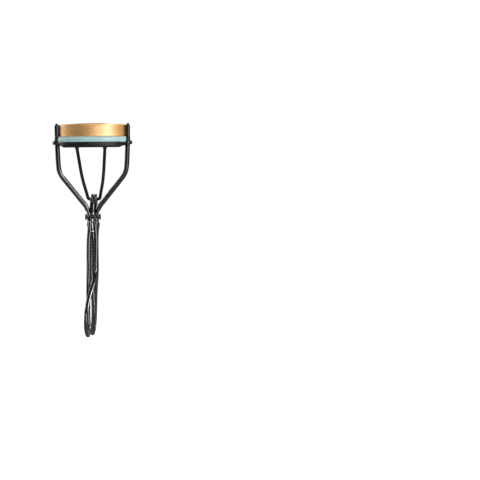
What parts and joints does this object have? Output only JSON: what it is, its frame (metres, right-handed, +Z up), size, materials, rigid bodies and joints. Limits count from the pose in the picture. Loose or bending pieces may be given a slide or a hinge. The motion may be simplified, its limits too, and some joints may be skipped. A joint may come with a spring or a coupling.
{
  "type": "eyelash curler",
  "caption": "Hand-held wire tool that bends lashes: a curved plate fixed between wire uprights, a padded jaw guided along them, and crossing finger loops that squeeze the jaw shut.",
  "frame": {"origin": "middle of the rear finger loop, where a finger holds the frame", "axes": "+Z up along the handle and the uprights to the jaws, +Y from the front loop to the rear loop, +X across the jaws"},
  "size_m": [0.0414, 0.0512, 0.1095],
  "materials": {
    "black_lacquer": "glossy warm black lacquer on steel wire and sheet",
    "satin_gold": "satin rose-gold plating, rolled edges",
    "celadon_silicone": "pale blue-green satin silicone rubber",
    "blackened_steel": "blackened turned steel"
  },
  "bodies": {
    "frame": {"frame_wire": "black_lacquer", "upper_plate": "satin_gold", "pivot_pin": "blackened_steel", "pivot_spacer": "blackened_steel", "upright_tip_left": "black_lacquer", "upright_tip_right": "black_lacquer"},
    "lever": {"lever_wire": "black_lacquer", "lever_bridge": "blackened_steel"},
    "jaw": {"jaw_channel": "black_lacquer", "jaw_pad": "celadon_silicone", "guide_eyelet_left": "black_lacquer", "guide_eyelet_right": "black_lacquer", "jaw_arm_left": "black_lacquer", "jaw_arm_right": "black_lacquer"}
  },
  "joints": [
    {"name": "lever_hinge", "type": "hinge", "parent": "frame", "child": "lever", "pos_m": [0, -0.011, 0.049], "axis": [-1, 0, 0], "range_deg": [0, 40]},
    {"name": "jaw_hinge", "type": "hinge", "parent": "lever", "child": "jaw", "pos_m": [0, -0.005, 0.0581], "axis": [1, 0, 0], "range_deg": [0, 50]}
  ],
  "couplings": [
    {"joint": "jaw_hinge", "follows": "lever_hinge", "ratio": 1.2275}
  ]
}
